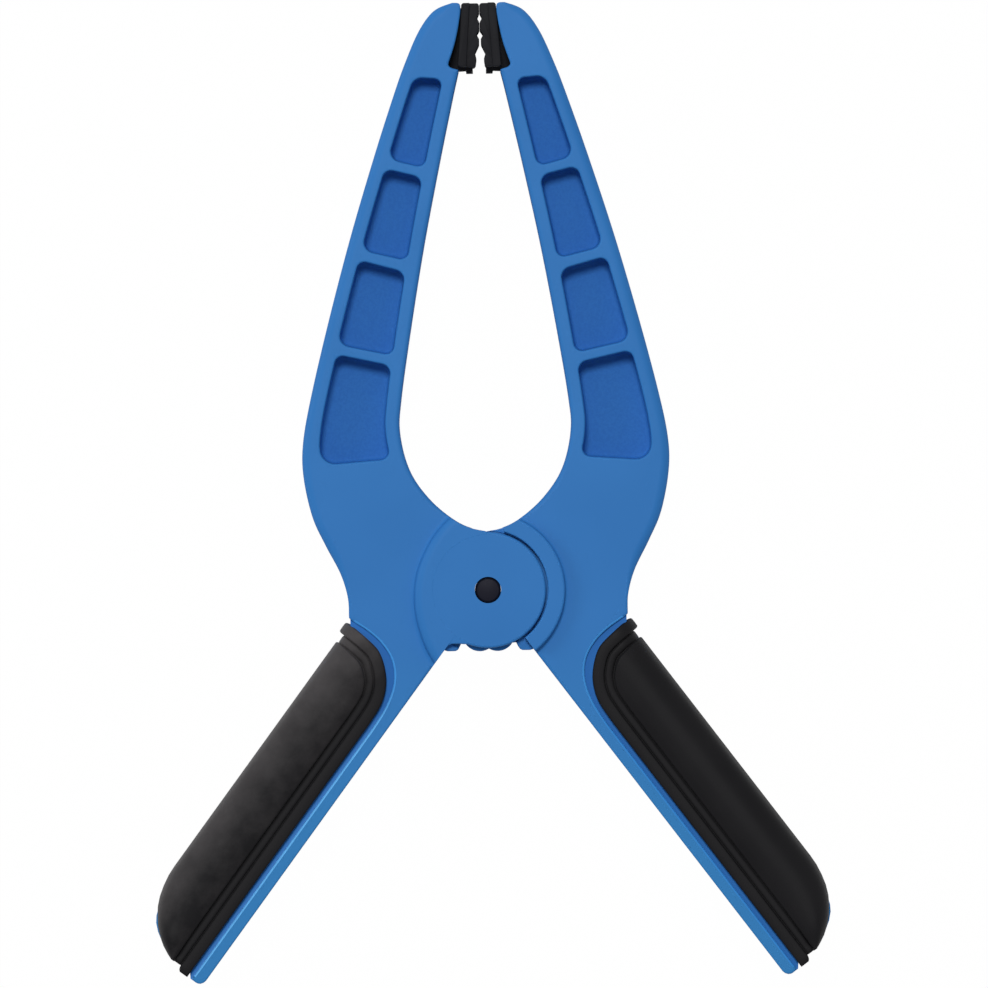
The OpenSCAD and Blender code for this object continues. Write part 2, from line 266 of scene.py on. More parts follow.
def softened(outline, radius):
    """The outline with every corner rounded."""
    bm = bmesh.new()
    flat_face(bm, outline, 0)
    bmesh.ops.bevel(bm, geom=bm.verts[:], offset=radius, segments=3, affect="VERTICES", profile=0.5,
                    material=-1, clamp_overlap=True)
    points = [v.co.to_2d() for v in max(bm.faces, key=lambda f: f.calc_area()).verts]
    bm.free()
    return points


def clean(bm):
    """Merges what lies together and turns the faces outwards."""
    bmesh.ops.remove_doubles(bm, verts=bm.verts, dist=MERGE)
    bmesh.ops.recalc_face_normals(bm, faces=bm.faces)


def in_scene(name, data):
    """A new object of the scene."""
    thing = bpy.data.objects.new(name, data)
    bpy.context.scene.collection.objects.link(thing)
    return thing


def placed(name, bm):
    """A bmesh as an object of the scene."""
    mesh = bpy.data.meshes.new(name)
    bm.to_mesh(mesh)
    bm.free()
    return in_scene(name, mesh)


def block(name, bm):
    """A bmesh in millimetres as a working object for a cut or a union."""
    clean(bm)
    return placed(name, bm)


def combine(base, operation, tool):
    """Adds, cuts or crosses a working object with another, which is used up."""
    change = base.modifiers.new(operation, "BOOLEAN")
    change.operation = operation
    change.solver = "EXACT"
    change.object = tool
    bpy.context.view_layer.update()
    graph = bpy.context.evaluated_depsgraph_get()
    mesh = bpy.data.meshes.new_from_object(base.evaluated_get(graph))
    base.modifiers.clear()
    old = base.data
    base.data = mesh
    bpy.data.meshes.remove(old)
    bpy.data.objects.remove(tool)
    return base


def prism(name, outline, low, high):
    """A working object with a plain upright wall over an outline."""
    return plate(name, outline, [lambda p: (0, low), lambda p: (0, high)])


def close_holes(bm):
    """Closes every open ring of edges with a face."""
    edges = [e for e in bm.edges if len(e.link_faces) == 1]
    if edges:
        bmesh.ops.holes_fill(bm, edges=edges, sides=0)


def turned(name, profile, steps):
    """A shape turned about the pivot axis from (radius, z) points, closed where it meets the axis."""
    bm = bmesh.new()
    line = [bm.verts.new((r, 0, z)) for r, z in profile]
    edges = [bm.edges.new(pair) for pair in zip(line, line[1:])]
    bmesh.ops.spin(bm, geom=line + edges, cent=(0, 0, 0), axis=(0, 0, 1), angle=math.tau, steps=steps,
                   use_merge=True)
    bmesh.ops.remove_doubles(bm, verts=bm.verts, dist=MERGE)
    close_holes(bm)
    return block(name, bm)


def drum(name, r, low, high, steps):
    """A plain cylinder about the pivot axis."""
    return turned(name, [(0, low), (r, low), (r, high), (0, high)], steps)


def from_block(piece):
    """The bmesh of a working object, which is used up."""
    bm = bmesh.new()
    bm.from_mesh(piece.data)
    mesh = piece.data
    bpy.data.objects.remove(piece)
    bpy.data.meshes.remove(mesh)
    return bm


def turned_over(bm):
    """Turns a right-hand shape about the jaw line to make the left-hand one."""
    bmesh.ops.rotate(bm, verts=bm.verts, cent=(0, 0, MID), matrix=Matrix.Rotation(math.pi, 3, "Y"))
    return bm


# -------------------- arm


def body_outline():
    """Plan of the jaw, the hub and the blue strip of the handle, up to the moat round the grip."""
    jaw_out = [curve_point(OUTER_KEYS, JAW_SPANS - k / 8) for k in range(int(JAW_SPANS * 8) + 1)]
    seat = through(SEAT_KEYS, 5) + plan_of((7.1, 121.2), (6.75, 120.8), (6.3, 120.6), (4.95, 120.2))
    inner = [curve_point(INNER_KEYS, s / 8) for s in range(26, 13 * 8 + 1)]
    hub = plan_of((1.0, 13.0), (0.6, 9), (0, 0))
    strip = [from_handle(u, 0) for u in (20, 40, 60, 80, 100, 110)]
    end = handle_plan((111.3, 0), (112.0, 0.2), (112.6, 0.65), (112.9, 1.2), (113.0, 1.8), (112.95, 2.4),
                      (112.7, 2.8))
    back = [from_handle(u, STRIP_V) for u in (112, 108, 96, 84, 72, 60, 50)]
    moat = handle_plan(*reversed(through(MOAT_KEYS, 8)))
    return jaw_out + seat + inner + hub + strip + end + back + moat + [from_handle(24.0, 22.25)]


OUTER_LINE = through(OUTER_KEYS, 40)


def body_rim(p):
    """Radius of the rim round the body's plan: soft on the jaw's outside, tighter elsewhere."""
    u = p.x * math.sin(SPLAY) - p.y * math.cos(SPLAY)
    v = p.x * math.cos(SPLAY) + p.y * math.sin(SPLAY)
    if u > 20.5 and v < 26:
        return 0.45 + 0.2 * ramp(v, 1.2, 2.2)
    if p.y > -8 and min((q - p.to_2d()).length for q in OUTER_LINE) < 0.5:
        return 0.5 + 1.7 * min(ramp(p.x, 6.0, 9.0), ramp(p.y, -1.2, 7.8))
    return 0.5 if p.y > 120 else 1.1 if p.y > 15 and v > 20 else 0.8


def pocket_side(keys, other, first, last, flange, clear):
    """Points along one side of a pocket, a flange's width inside the edge and clear of the corners.

    Towards the hub the outer flange widens.
    """
    n = max(int((last - first) / 0.08), 4)
    points = []
    for k in range(n + 1):
        s = first + (last - first) * k / n
        widening = 0.35 * max(s - 8.2, 0) if keys is OUTER_KEYS else 0
        a, b = curve_point(keys, s), curve_point(other, s)
        points.append(a + (b - a).normalized() * (flange + widening))
    ends = (points[0], points[-1])
    return [points[0]] + [p for p in points[1:-1] if min((p - e).length for e in ends) > clear] + [points[-1]]


def add_pocket(bm, spec):
    """Makes a pocket's rim, wall and floor, open at its mouth."""
    a, b, c, d, flange_in, flange_out = spec
    inner = pocket_side(INNER_KEYS, OUTER_KEYS, a, b, flange_in, 3.6)
    outer = pocket_side(OUTER_KEYS, INNER_KEYS, c, d, flange_out, 4.6)
    face = flat_face(bm, inner + list(reversed(outer)), ARM_HIGH)
    low_in, low_out = (3.0, 4.2) if b > 9 else (2.5, 3.1)
    for place, radius in ((inner[0], 2.5), (outer[0], 2.3), (inner[-1], low_in), (outer[-1], low_out)):
        corner = min(face.verts, key=lambda v: (v.co.to_2d() - place).length)
        made = bmesh.ops.bevel(bm, geom=[corner], offset=radius, segments=7, affect="VERTICES", profile=0.5,
                               material=-1)
        face = max({f for v in made["verts"] for f in v.link_faces}, key=lambda f: f.calc_area())
    rim, fillet, draft = 0.42, 0.9, 0.14
    for inset, dz in quarter(rim, 4, outward=False):
        step_face(bm, face, inset, -dz)
    step_face(bm, face, draft, -(ARM_HIGH - POCKET_FLOOR - rim - fillet))
    for inset, dz in quarter(fillet, 5):
        step_face(bm, face, inset, -dz)


def front_half():
    """Upper half of the jaw, hub and handle strip, with its pockets."""
    bm = bmesh.new()
    rows = [lambda p: (0, MID)] + rim_rows(ARM_HIGH, body_rim, 6, squash=0.65)
    top = rise(bm, body_outline(), rows)
    bmesh.ops.delete(bm, geom=[top], context="FACES_ONLY")
    for spec in POCKETS:
        add_pocket(bm, spec)
    open_edges = [e for e in bm.edges if len(e.link_faces) == 1]
    rims = [e for e in open_edges if all(abs(v.co.z - ARM_HIGH) < 1e-5 for v in e.verts)]
    bmesh.ops.triangle_fill(bm, use_beauty=True, use_dissolve=False, edges=rims)
    return bm


def arm_body():
    """The jaw, hub and handle strip, both halves as one."""
    return block("arm_body", both_halves(front_half()))


def handle_core():
    """The handle's core, which the grip wraps, from the hub to the handle's end."""
    tip = [(1.6, 0.3), (0.6, 0.8), (0.2, 2), (0.2, 3.2), (1.4, 4.2)]
    lower = [(HANDLE_L - short, v) for short, v in tip]
    outer = through([(110.5, 8), (109.2, 12.4), (105.5, 16), (101, 18.2), (96, CORE_V)], 4)
    upper = [(25.5, CORE_V), (25.3, 20.9), (24.0, 21.9), (22.6, 22.9), (14, 19)]
    return prism("handle_core", handle_plan((16, 1.5), *lower, *outer, *upper), ARM_LOW + 1, SEAT_Z)


def heel():
    """The core's edge where it shows through the soft grip, low on the outer side."""
    out = (103.4, -0.9), (104.8, -0.15), (106, 0.22), (107.4, 0.42), (108.8, 0.34), (109.9, 0), (110.8, -0.9)
    edge = [(u, look_up(END_LINE, u) + by) for u, by in out]
    rows = [
        lambda p: (0.5, MID - 2.4), lambda p: (0, MID - 1.9),
        lambda p: (0, MID + 1.9), lambda p: (0.5, MID + 2.4),
    ]
    return plate("heel", handle_plan((104, 13), *edge, (109.4, 10.5)), rows)


def channel():
    """The space in the handle for the spring's leg, open towards the other handle."""
    plan = handle_plan((2, -6), (108.5, -6), (108.5, WEB_V - 4), (107.4, WEB_V - 1.2), (104.5, WEB_V),
                       (10, WEB_V), (2, 12))
    return prism("channel", plan, 5.5, HUB_T - 5.5)


def polar(r, degrees):
    """A point at a radius and an angle about the pivot."""
    a = math.radians(degrees)
    return Vector((r * math.cos(a), r * math.sin(a)))


def arc(r, start, stop, step=3.0):
    """Points of an arc about the pivot, angles in degrees."""
    n = max(int(abs(stop - start) / step), 2)
    return [polar(r, start + (stop - start) * k / n) for k in range(n + 1)]


def sector(low, high, left):
    """The hub's share of the plan that belongs to this arm, right of x = left and just inside its edges."""
    edge = [curve_point(INNER_KEYS, s / 10) + Vector((0.06, -0.1)) for s in range(96, 131)]
    edge = [p for p in edge if p.x > max(left, 1.5)]
    if left:
        edge += [Vector((left, edge[-1].y - 0.35)), from_handle((left - 0.08) / math.sin(SPLAY), 0.1)]
    else:
        edge += plan_of((1.0, 13.68), (0.4, 13.58), (0, 13.52), (0, 0))
    return prism("sector", edge + [from_handle(45, 0.1)] + plan_of((45, -30), (45, 30)), low, high)


# Outer walls of the hub's raised boss and ring, as (angle, radius) about the pivot
BOSS_WALL = [
    (92, 21.5), (75, 20), (60, 18.6), (45, 17.6), (30, 16.95), (15, 16.85), (0, 17.0), (-15, 17.5),
    (-30, 18.4), (-40, 19.4), (-48, 20.3), (-56, 21.3), (-66, 22.2),
]
RING_WALL = [(88 - 12 * k, 17.8) for k in range(14)]


def raised(name, wall, inside, rim, foot, left):
    """A raised band of the hub round the pivot, from its inner radius out to its wall.

    It is cut to the arm's share. The rim and the foot are each a radius and how flat it is.
    """
    outline = [polar(r, a) for a, r in through(wall, 5)] + arc(inside, -70, 90)
    rim_r, rim_squash = rim
    foot_r, foot_squash = foot

    def outside(p):
        return p.to_2d().length > inside + 0.6 and -62 < math.degrees(math.atan2(p.y, p.x)) < 84

    rows = foot_rows(ARM_HIGH, lambda p: foot_r if outside(p) else 0, 4, foot_squash)
    rows += rim_rows(HUB_T, lambda p: rim_r if outside(p) else 0.3, 8, rim_squash)
    return combine(plate(name, outline, rows), "INTERSECT", sector(ARM_HIGH - 0.5, HUB_T + 1, left))


def turn_to_back(piece):
    """Mirrors a working object to the arm's back face."""
    bm = from_block(piece)
    bmesh.ops.scale(bm, verts=bm.verts, vec=(1, 1, -1))
    lift(bm, HUB_T)
    return block("turned", bm)


def ear_corner():
    """Where the outer ear runs out to the handle's edge, above the stop lug."""
    plan = plan_of((4.2, -12.4), (5.6, -12.42), (7.0, -12.3), (8.6, -12.32), (9.3, -12.62), (11.0, -12.4),
                   (9.0, -8), (4.5, -8))
    rows = [lambda p: (0, HUB_T - EAR_T + 0.03)] + rim_rows(HUB_T - 0.03, 0.35, 4)
    return turn_to_back(plate("ear_corner", plan, rows))


def outer_ear():
    """The ear that shows on the hub's face, joined to the plateau it stands on."""
    near, far, rim = 0.02, EAR_T - 0.02, 0.55
    turn = [math.pi / 2 * (6 - k) / 6 for k in range(7)]
    edge = [(EAR_R - rim + rim * math.cos(a), near + rim - rim * math.sin(a)) for a in turn]
    return turned("outer_ear", [(0, far), (0, near)] + edge + [(EAR_R, far)], 160)


def inner_ear():
    """The ear that sits inside the other arm's, with its root, spigot and two lobes."""
    root = arc(16.3, -51.5, 58) + plan_of((6.2, 15.3), (4.3, 14.5), (3.2, 14.08), (2, 13.82), (1, 13.63),
                                          (0.3, 13.54))
    outline = root + arc(INNER_EAR_R, 90, 360 - 53)
    ear = plate("inner_ear", outline, wall_rows(INNER_LOW, 0.2, INNER_HIGH, 0.2, 2))
    spigot = [(0, 13.3), (6.1, 13.3), (6.4, 13.6), (6.4, INNER_LOW + 1), (0, INNER_LOW + 1)]
    ear = combine(ear, "UNION", turned("spigot", spigot, 64))
    fill = plan_of((0.4, 13.57), (1, 13.68), (2, 13.87), (3.2, 14.15), (4.3, 14.55), (6.0, 15.3))
    fill += arc(16.2, 66, 52) + arc(13.57, 52, 86)
    rows = [lambda p: (0, INNER_HIGH - 0.3)] + rim_rows(ARM_HIGH - 0.02, 0.08, 2)
    ear = combine(ear, "UNION", plate("root", fill, rows))
    lobe_r = 4.0
    for side in (-1, 1):
        middle = polar(EAR_R + 0.95 - lobe_r, -90 + 11.5 * side)
        outline = [middle + p for p in arc(lobe_r, 0, 352, 8)]
        rows = wall_rows(INNER_LOW + 0.1, 0.3, INNER_HIGH - 0.1, 0.4, 3)
        ear = combine(ear, "UNION", plate("lobe", outline, rows))
    return ear


def stop_lugs():
    """Lugs on the handle's flanges that meet the other arm's when the handles are squeezed."""
    face = plan_of((7.2, -13.75), (7.75, -14.0), (9.5, -14.02), (10.2, -13.8), (10.6, -13.2))
    low_plan = plan_of((6.84, -13.26)) + face + arc(14.9, -51, -61.5, 2)
    high_plan = plan_of((6.3, -12.2), (6.75, -13.1)) + face + plan_of((9.4, -11.2), (7.6, -10.6))
    low = plate("lug_low", low_plan, wall_rows(ARM_LOW + 0.2, 0.3, 5.3, 0.3, 2))
    high = plate("lug_high", high_plan, wall_rows(INNER_LOW + 0.15, 0.3, INNER_HIGH - 0.1, 0.3, 2))
    return combine(low, "UNION", high)


def rocking_rod(r, length):
    """A rod on the line that the right pad rocks about."""
    bm = bmesh.new()
    made = bmesh.ops.create_cone(bm, cap_ends=True, segments=32, radius1=r, radius2=r, depth=length)
    bmesh.ops.translate(bm, verts=made["verts"], vec=(ROCK[0], ROCK[1], MID))
    return bm


def tongue_slot():
    """Slot in the jaw's tip for the pad's tongue, with its two sockets."""
    plan = [
        (1.0, 134.9), (4.6, 134.9), (4.95, 132.2), (6.1, 131.6), (8.4, 130.7), (8.5, 129.0), (8.75, 126),
        (9.45, 121.8), (9.0, 120.8), (8.3, 120.3), (7.0, 119.0), (1.0, 118.3),
    ]
    slot = prism("tongue_slot", plan, MID - 3.5, MID + 3.5)
    return combine(slot, "UNION", block("sockets", rocking_rod(1.25, 12.4)))


def make_arm():
    """The whole right-hand moulding, as a bmesh in millimetres."""
    arm = arm_body()
    combine(arm, "UNION", handle_core())
    combine(arm, "UNION", heel())
    combine(arm, "DIFFERENCE", channel())
    combine(arm, "DIFFERENCE", drum("cavity", CAVITY_R, -5, HUB_T + 5, 128))
    combine(arm, "UNION", turn_to_back(raised("boss", BOSS_WALL, 12.6, (2.2, 0.65), (1.0, 0.8), 0)))
    combine(arm, "UNION", outer_ear())
    # Room for the other arm's inner ear and lobes to turn
    combine(arm, "DIFFERENCE", drum("clearance", LOBE_ROOM_R, EAR_T - 0.04, 9, 128))
    combine(arm, "UNION", ear_corner())
    combine(arm, "UNION", inner_ear())
    combine(arm, "UNION", raised("ring", RING_WALL, RING_R, (0.5, 1.0), (0.7, 1.0), 3.9))
    combine(arm, "UNION", stop_lugs())
    combine(arm, "DIFFERENCE", tongue_slot())
    combine(arm, "DIFFERENCE", drum("bore", BORE_R, -2, HUB_T + 4, 64))
    return from_block(arm)


# -------------------- soft grip

# Sections across the grip: v across the handle and height from the middle plane
PANEL_KEYS = [(9.42, 11.92), (11.2, 12.6), (14, 12.99), (17, 12.5), (19.8, 10.4), (21, 7), (21.45, 0)]
FLOOR_KEYS = [(4.05, 10.6), (8.65, 10.6), (14, 10.6), (17.5, 10.4), (19.6, 9.0), (20.6, 6), (20.85, 0)]
# The grip rounds off from END_U down, on the outer side of SHOULDER_V; END_KEYS are its outer side, as (u, v)
END_U = 96
SHOULDER_V = 8.65
END_KEYS = [
    (END_U, 21.45), (100.4, 20.6), (104, 19.2), (107.6, 16.6), (110.2, 13.5), (111.3, 11.4), (111.8, 10.2),
    (112.0, 9.0),
]


class Section:
    """A line across the grip that can be walked by distance."""

    def __init__(self, keys):
        self.points = through(keys, 12)
        self.lengths = [0.0]
        for a, b in zip(self.points, self.points[1:]):
            self.lengths.append(self.lengths[-1] + (b - a).length)
        self.total = self.lengths[-1]

    def at(self, w):
        """Point and outward normal at a distance from the inner end."""
        i = max(k for k in range(len(self.points) - 1) if self.lengths[k] <= max(w, 0) + 1e-9)
        a, b = self.points[i], self.points[i + 1]
        step = (b - a) / (self.lengths[i + 1] - self.lengths[i])
        normal = Vector((-step.y, step.x)) if w < self.total - 1e-6 else Vector((1, 0))
        return a + step * (w - self.lengths[i]), normal


def look_up(table, x):
    """Straight-line reading of a table of (x, y) points."""
    for a, b in zip(table, table[1:]):
        if x <= b[0]:
            return a[1] + (b[1] - a[1]) * max(x - a[0], 0) / (b[0] - a[0])
    return table[-1][1]


END_LINE = through(END_KEYS, 8)
PANEL, FLOOR = Section(PANEL_KEYS), Section(FLOOR_KEYS)
SIDE = FLOOR.total
# The grip's edge where it turns round the collar, as (u, distance round the grip)
GRIP_PATH = [
    (COLLAR_U, 0), (36, 0.4), (31.6, 2.1), (28.4, 4.85), (26.2, 8.1), (25.5, 11.5), (25.15, 16), (25.2, 20.5),
    (25.25, SIDE),
]


def grip_point(u, v, h):
    """A point of the grip in the clamp's axes, drawn in where the grip rounds off at its lower end."""
    if v > SHOULDER_V and u > END_U:
        v = SHOULDER_V + (v - SHOULDER_V) * (look_up(END_LINE, u) - SHOULDER_V) / 12.8
    sink = max(u - 106.5, 0) / 6.5 * ramp(v, 6.5, 10)
    p = from_handle(u, v)
    return Vector((p.x, p.y, MID + h * (1 - 0.26 * sink ** 2.4)))


def on_floor(u, w, h):
    """A point at height h over the groove's floor, at a distance w round the grip."""
    p, n = FLOOR.at(w)
    return grip_point(u, p.x + n.x * h, p.y + n.y * h)


def edge_path():
    """Walk along the grip's edge from the lower end up and round the collar: (u, w) and the way inwards."""
    low = (113.1, 113.0, 112.7, 112.3, 111.9, 111.8, 111.6, 111.3, 110.8, 110.1, 109.2, 108.1, 106.8, 105.2,
           103.3, 101.2)
    straight = [Vector((u, 0)) for u in low] + [Vector((98.9 - 2.1 * k, 0)) for k in range(27)]
    points = straight + through(GRIP_PATH, 6)
    path = []
    for i, p in enumerate(points):
        a, b = points[max(i - 1, 0)], points[min(i + 1, len(points) - 1)]
        d = (b - a).normalized()
        path.append((p, Vector((d.y, -d.x))))
    path[-1] = (path[-1][0], Vector((1, 0)))
    return path


def collar_turn(path):
    """Where the path leaves the straight edge and turns round the collar."""
    return next(i for i, (p, n) in enumerate(path) if p.x <= COLLAR_U + 0.001)


def grid_of(bm, rows):
    """Lays a grid of points, given row by row, as a sheet."""
    made = bmesh.ops.create_grid(bm, x_segments=len(rows[0]) - 1, y_segments=len(rows) - 1, size=1)["verts"]
    for vert, place in zip(made, (p for row in rows for p in row)):
        vert.co = place


# Sections of the border and of the bead in the groove: (distance in from the grip's edge, height)
BORDER_RING = [
    (0.05, -1.15), (0.0, 0.4), (0.08, 0.66), (0.22, 0.83), (0.45, 0.9), (1.4, 0.93), (2.38, 0.9), (2.6, 0.83),
    (2.74, 0.66), (2.8, 0.4), (2.83, -0.4), (1.5, -1.15), (0.05, -1.15),
]
BEAD_RING = [
    (3.05, -0.9), (3.05, 0.35), (3.1, 0.48), (3.22, 0.56), (3.6, 0.6), (4.2, 0.54), (4.58, 0.45), (4.7, 0.38),
    (4.75, 0.25), (4.75, -0.9), (3.05, -0.9),
]
# Where the panel's flank and its surface begin, inwards from the grip's edge, and how high its lip stands
PANEL_FOOT, PANEL_IN = 5.02, 5.37
LIP_HIGH = 1.15


def grip_band(ring, end_at, swell):
    """A band along the grip's edge and round the collar, from its section.

    Its height changes by the swell towards the grip's outer side, and it rounds off before its lower end.
    """
    low = ring[0][0]
    rounding = 1.7
    rows = []
    for p, n in edge_path():
        lift = 1 + swell * ramp(p.y, 12, 20)
        end = max(p.x - end_at + rounding, 0) / rounding
        if end > 1:
            continue
        if end > 0:
            size = 1 - 0.3 * (1 - math.sqrt(max(1 - end * end, 0.02)))
            rows.append([
                on_floor(p.x, 0, h * size) + from_handle(0, low + (d - low) * size).to_3d() for d, h in ring
            ])
        else:
            rows.append([
                on_floor(p.x + n.x * d, max(p.y + n.y * d, 0), h * lift if h > 0 else h) for d, h in ring
            ])
    bm = bmesh.new()
    grid_of(bm, rows)
    bmesh.ops.remove_doubles(bm, verts=bm.verts, dist=MERGE)
    return bm


def grip_panel():
    """The crowned panel inside the groove, with its lip."""
    lip = [
        (PANEL_FOOT, -0.5), (PANEL_FOOT, 0.75), (PANEL_FOOT + 0.05, 0.95), (PANEL_FOOT + 0.17, 1.08),
        (PANEL_IN, LIP_HIGH),
    ]
    path = edge_path()
    turn = collar_turn(path)
    rows_u = [p.x for p, n in path[:turn + 1] if p.x < 111.95]
    end_u = rows_u[0]
    span = SIDE - PANEL_IN

    def surface(u, w):
        p, n = PANEL.at(max(w - PANEL_IN, 0) / span * PANEL.total)
        return grip_point(u, p.x, p.y)

    bm = bmesh.new()
    shares = [(u - COLLAR_U) / (end_u - COLLAR_U) for u in rows_u]
    starts = [p + n * PANEL_IN for p, n in path[turn:]]
    grid_of(bm, [[surface(p.x + (end_u - p.x) * f, min(p.y, SIDE)) for f in shares] for p in starts])
    strip = []
    for p, n in path:
        if p.x > end_u + 0.001:
            continue
        top = surface(*(p + n * PANEL_IN))
        base = on_floor(p.x + n.x * PANEL_IN, min(p.y + n.y * PANEL_IN, SIDE), LIP_HIGH)
        strip.append([
            on_floor(p.x + n.x * d, min(p.y + n.y * d, SIDE), h) + (top - base) * max(h, 0) / LIP_HIGH
            for d, h in lip
        ])
    grid_of(bm, strip)
    bmesh.ops.remove_doubles(bm, verts=bm.verts, dist=0.02)
    return bm


def grip_floor():
    """The groove's floor and the sleeve under the panel."""
    path = edge_path()
    starts = [p + n * 0.5 for p, n in path[collar_turn(path):]]
    rows_u = [111.75, 111.6, 111.3] + [110.8 - 68.8 * k / 24 for k in range(25)]
    end_u = rows_u[0]
    shares = [(u - COLLAR_U) / (end_u - COLLAR_U) for u in rows_u]
    bm = bmesh.new()
    grid_of(bm, [[on_floor(p.x + (end_u - p.x) * f, min(p.y, SIDE), 0) for f in shares] for p in starts])
    return bm


def both_sheets(bm):
    """Completes a half of the grip, whose sheets end only near the middle plane."""
    for vert in bm.verts:
        if abs(vert.co.z - MID) < 0.08:
            vert.co.z = MID
    flat = [f for f in bm.faces if all(abs(v.co.z - MID) < 1e-3 for v in f.verts)]
    bmesh.ops.delete(bm, geom=flat, context="FACES_ONLY")
    both_halves(bm, 1e-3)
    bmesh.ops.recalc_face_normals(bm, faces=bm.faces)


def thicken(bm, thickness, end):
    """Gives a sheet its thickness, on the side away from the grip's outside, with a level lower end."""
    middle = from_handle(70, 12).to_3d() + Vector((0, 0, HUB_T))
    face = min(bm.faces, key=lambda f: (f.calc_center_median() - middle).length)
    if face.normal.z < 0:
        bmesh.ops.reverse_faces(bm, faces=bm.faces)
    bmesh.ops.solidify(bm, geom=bm.faces[:], thickness=thickness)
    down = from_handle(1, 0).to_3d()
    for vert in bm.verts:
        vert.co -= down * max(vert.co.dot(down) - end, 0)


def make_grip():
    """The whole right-hand grip: border, bead, panel and the sleeve under them."""
    shells = [grip_band(BORDER_RING, 113.1, 0.6), grip_band(BEAD_RING, 111.9, -0.8)]
    for band in shells:
        both_sheets(band)
        close_holes(band)
    for sheet, thickness, end in ((grip_panel(), 0.9, 111.92), (grip_floor(), 0.8, 111.75)):
        both_sheets(sheet)
        thicken(sheet, thickness, end)
        shells.append(sheet)
    return gather(shells)


# -------------------- jaw pads, pin and spring

# Plan of each gripping block, teeth first from the bottom up, in the right-hand pad's place
RIGHT_BLOCK = [
    (1.62, 120.88), (1.28, 121.25), (1.09, 122.7), (1.48, 124.0), (0.45, 126.1), (0.43, 127.25),
    (0.98, 128.25), (0.21, 129.4), (0.21, 131.05), (0.80, 132.15), (0.2, 133.35), (0.2, 135.15),
    (0.65, 135.6), (3.4, 135.6), (3.7, 135.3), (4.72, 121.15), (4.4, 120.95),
]
LEFT_BLOCK = [
    (1.20, 120.85), (0.85, 121.25), (0.62, 122.7), (0.95, 124.0), (-0.05, 126.1), (-0.07, 127.25),
    (0.52, 128.25), (-0.17, 129.4), (-0.17, 131.05), (0.36, 132.15), (-0.16, 133.35), (-0.16, 135.1),
    (0.2, 135.55), (3.3, 135.55), (3.6, 135.25), (4.6, 121.15), (4.3, 120.95),
]
TONGUE = [
    (2, 134.6), (4.2, 134.6), (4.6, 132.0), (5.9, 131.25), (8.05, 130.1), (8.05, 128.9), (7.4, 125),
    (7.4, 121.2), (6.85, 120.72), (6.3, 120.42), (4.95, 120.02), (3.12, 120.12), (3.05, 119.5), (1.5, 119.5),
    (1.55, 121.5),
]
# Width of the raised strip along a pad's back, and the upper faces of the pad and of the strip
STRIP_W = 1.95
PAD_HIGH, STRIP_HIGH = HUB_T - 4.0, HUB_T - 3.5
# Where the upper end of a pad's faces begins to slope
SLOPE_Y = 134.95


def slope_end(bm, high):
    """Slopes the upper end of a pad's faces away."""
    bmesh.ops.bisect_plane(bm, geom=bm.verts[:] + bm.edges[:] + bm.faces[:], plane_co=(0, SLOPE_Y, 0),
                           plane_no=(0, 1, 0))
    for vert in bm.verts:
        if vert.co.y > SLOPE_Y and abs(vert.co.z - MID) > high - MID - 0.3:
            vert.co.z -= math.copysign((vert.co.y - SLOPE_Y) * 1.4, vert.co.z - MID)
    return bm


def make_pad(plan, back_top, back_bottom):
    """A rocking pad: toothed block, the raised strip along its back, and the tongue with its trunnions."""
    top, foot = Vector(back_top), Vector(back_bottom)
    strip = [
        top, foot, foot - Vector((0.4, 0.2)), foot - Vector((STRIP_W, 0.2)), top - Vector((STRIP_W, -0.36)),
        top - Vector((0.4, -0.36)),
    ]
    return gather([
        slope_end(slab(softened(plan, 0.2), PAD_HIGH, 0.18), PAD_HIGH),
        slope_end(slab(softened(strip, 0.2), STRIP_HIGH, 0.18), STRIP_HIGH),
        slab(softened(TONGUE, 0.12), MID + 3.2, 0.1),
        rocking_rod(1.2, 12),
    ])


def make_pin():
    """The pivot pin with its chamfered ends."""
    low_end = [(0, 0.02), (2.42, 0.02), (2.55, 0.06), (2.93, 0.42), (PIN_R, 0.6)]
    high_end = [(PIN_R, 25.05), (2.93, 25.22), (2.55, 25.55), (2.42, 25.6), (0, 25.6)]
    return from_block(turned("pin", low_end + high_end, 96))


# The spring: radii of its wire and of its coil's centre line, turns of the coil, and length of its legs
WIRE_R, COIL_R, COIL_TURNS, LEG_U = 1.5, 9.2, 3, 56.0
COIL_PITCH = 2 * WIRE_R + 0.45


def wire_line():
    """Centre line of the spring: left leg, tangent into the coil, round it, and out along the right leg."""
    lean = SPLAY + math.atan((WEB_V - WIRE_R - 0.15 - COIL_R) / LEG_U)
    sweep = math.pi - 2 * lean + math.tau * COIL_TURNS
    half_rise = COIL_PITCH * sweep / math.tau / 2
    down, out = Vector((math.sin(lean), -math.cos(lean))), Vector((math.cos(lean), math.sin(lean)))
    n = int(sweep / math.tau * 40)
    coil = []
    for k in range(n + 1):
        a = math.pi - lean - sweep * k / n
        coil.append(Vector((COIL_R * math.cos(a), COIL_R * math.sin(a), MID + half_rise * (1 - 2 * k / n))))
    stops = [LEG_U, LEG_U - 0.35, LEG_U - 1.5, 45, 34, 23, 12, 5, 1.5]
    legs = [COIL_R * out + length * down for length in stops]
    left = [Vector((-p.x, p.y, MID + half_rise)) for p in legs]
    right = [Vector((p.x, p.y, MID - half_rise)) for p in reversed(legs)]
    return left + coil + right


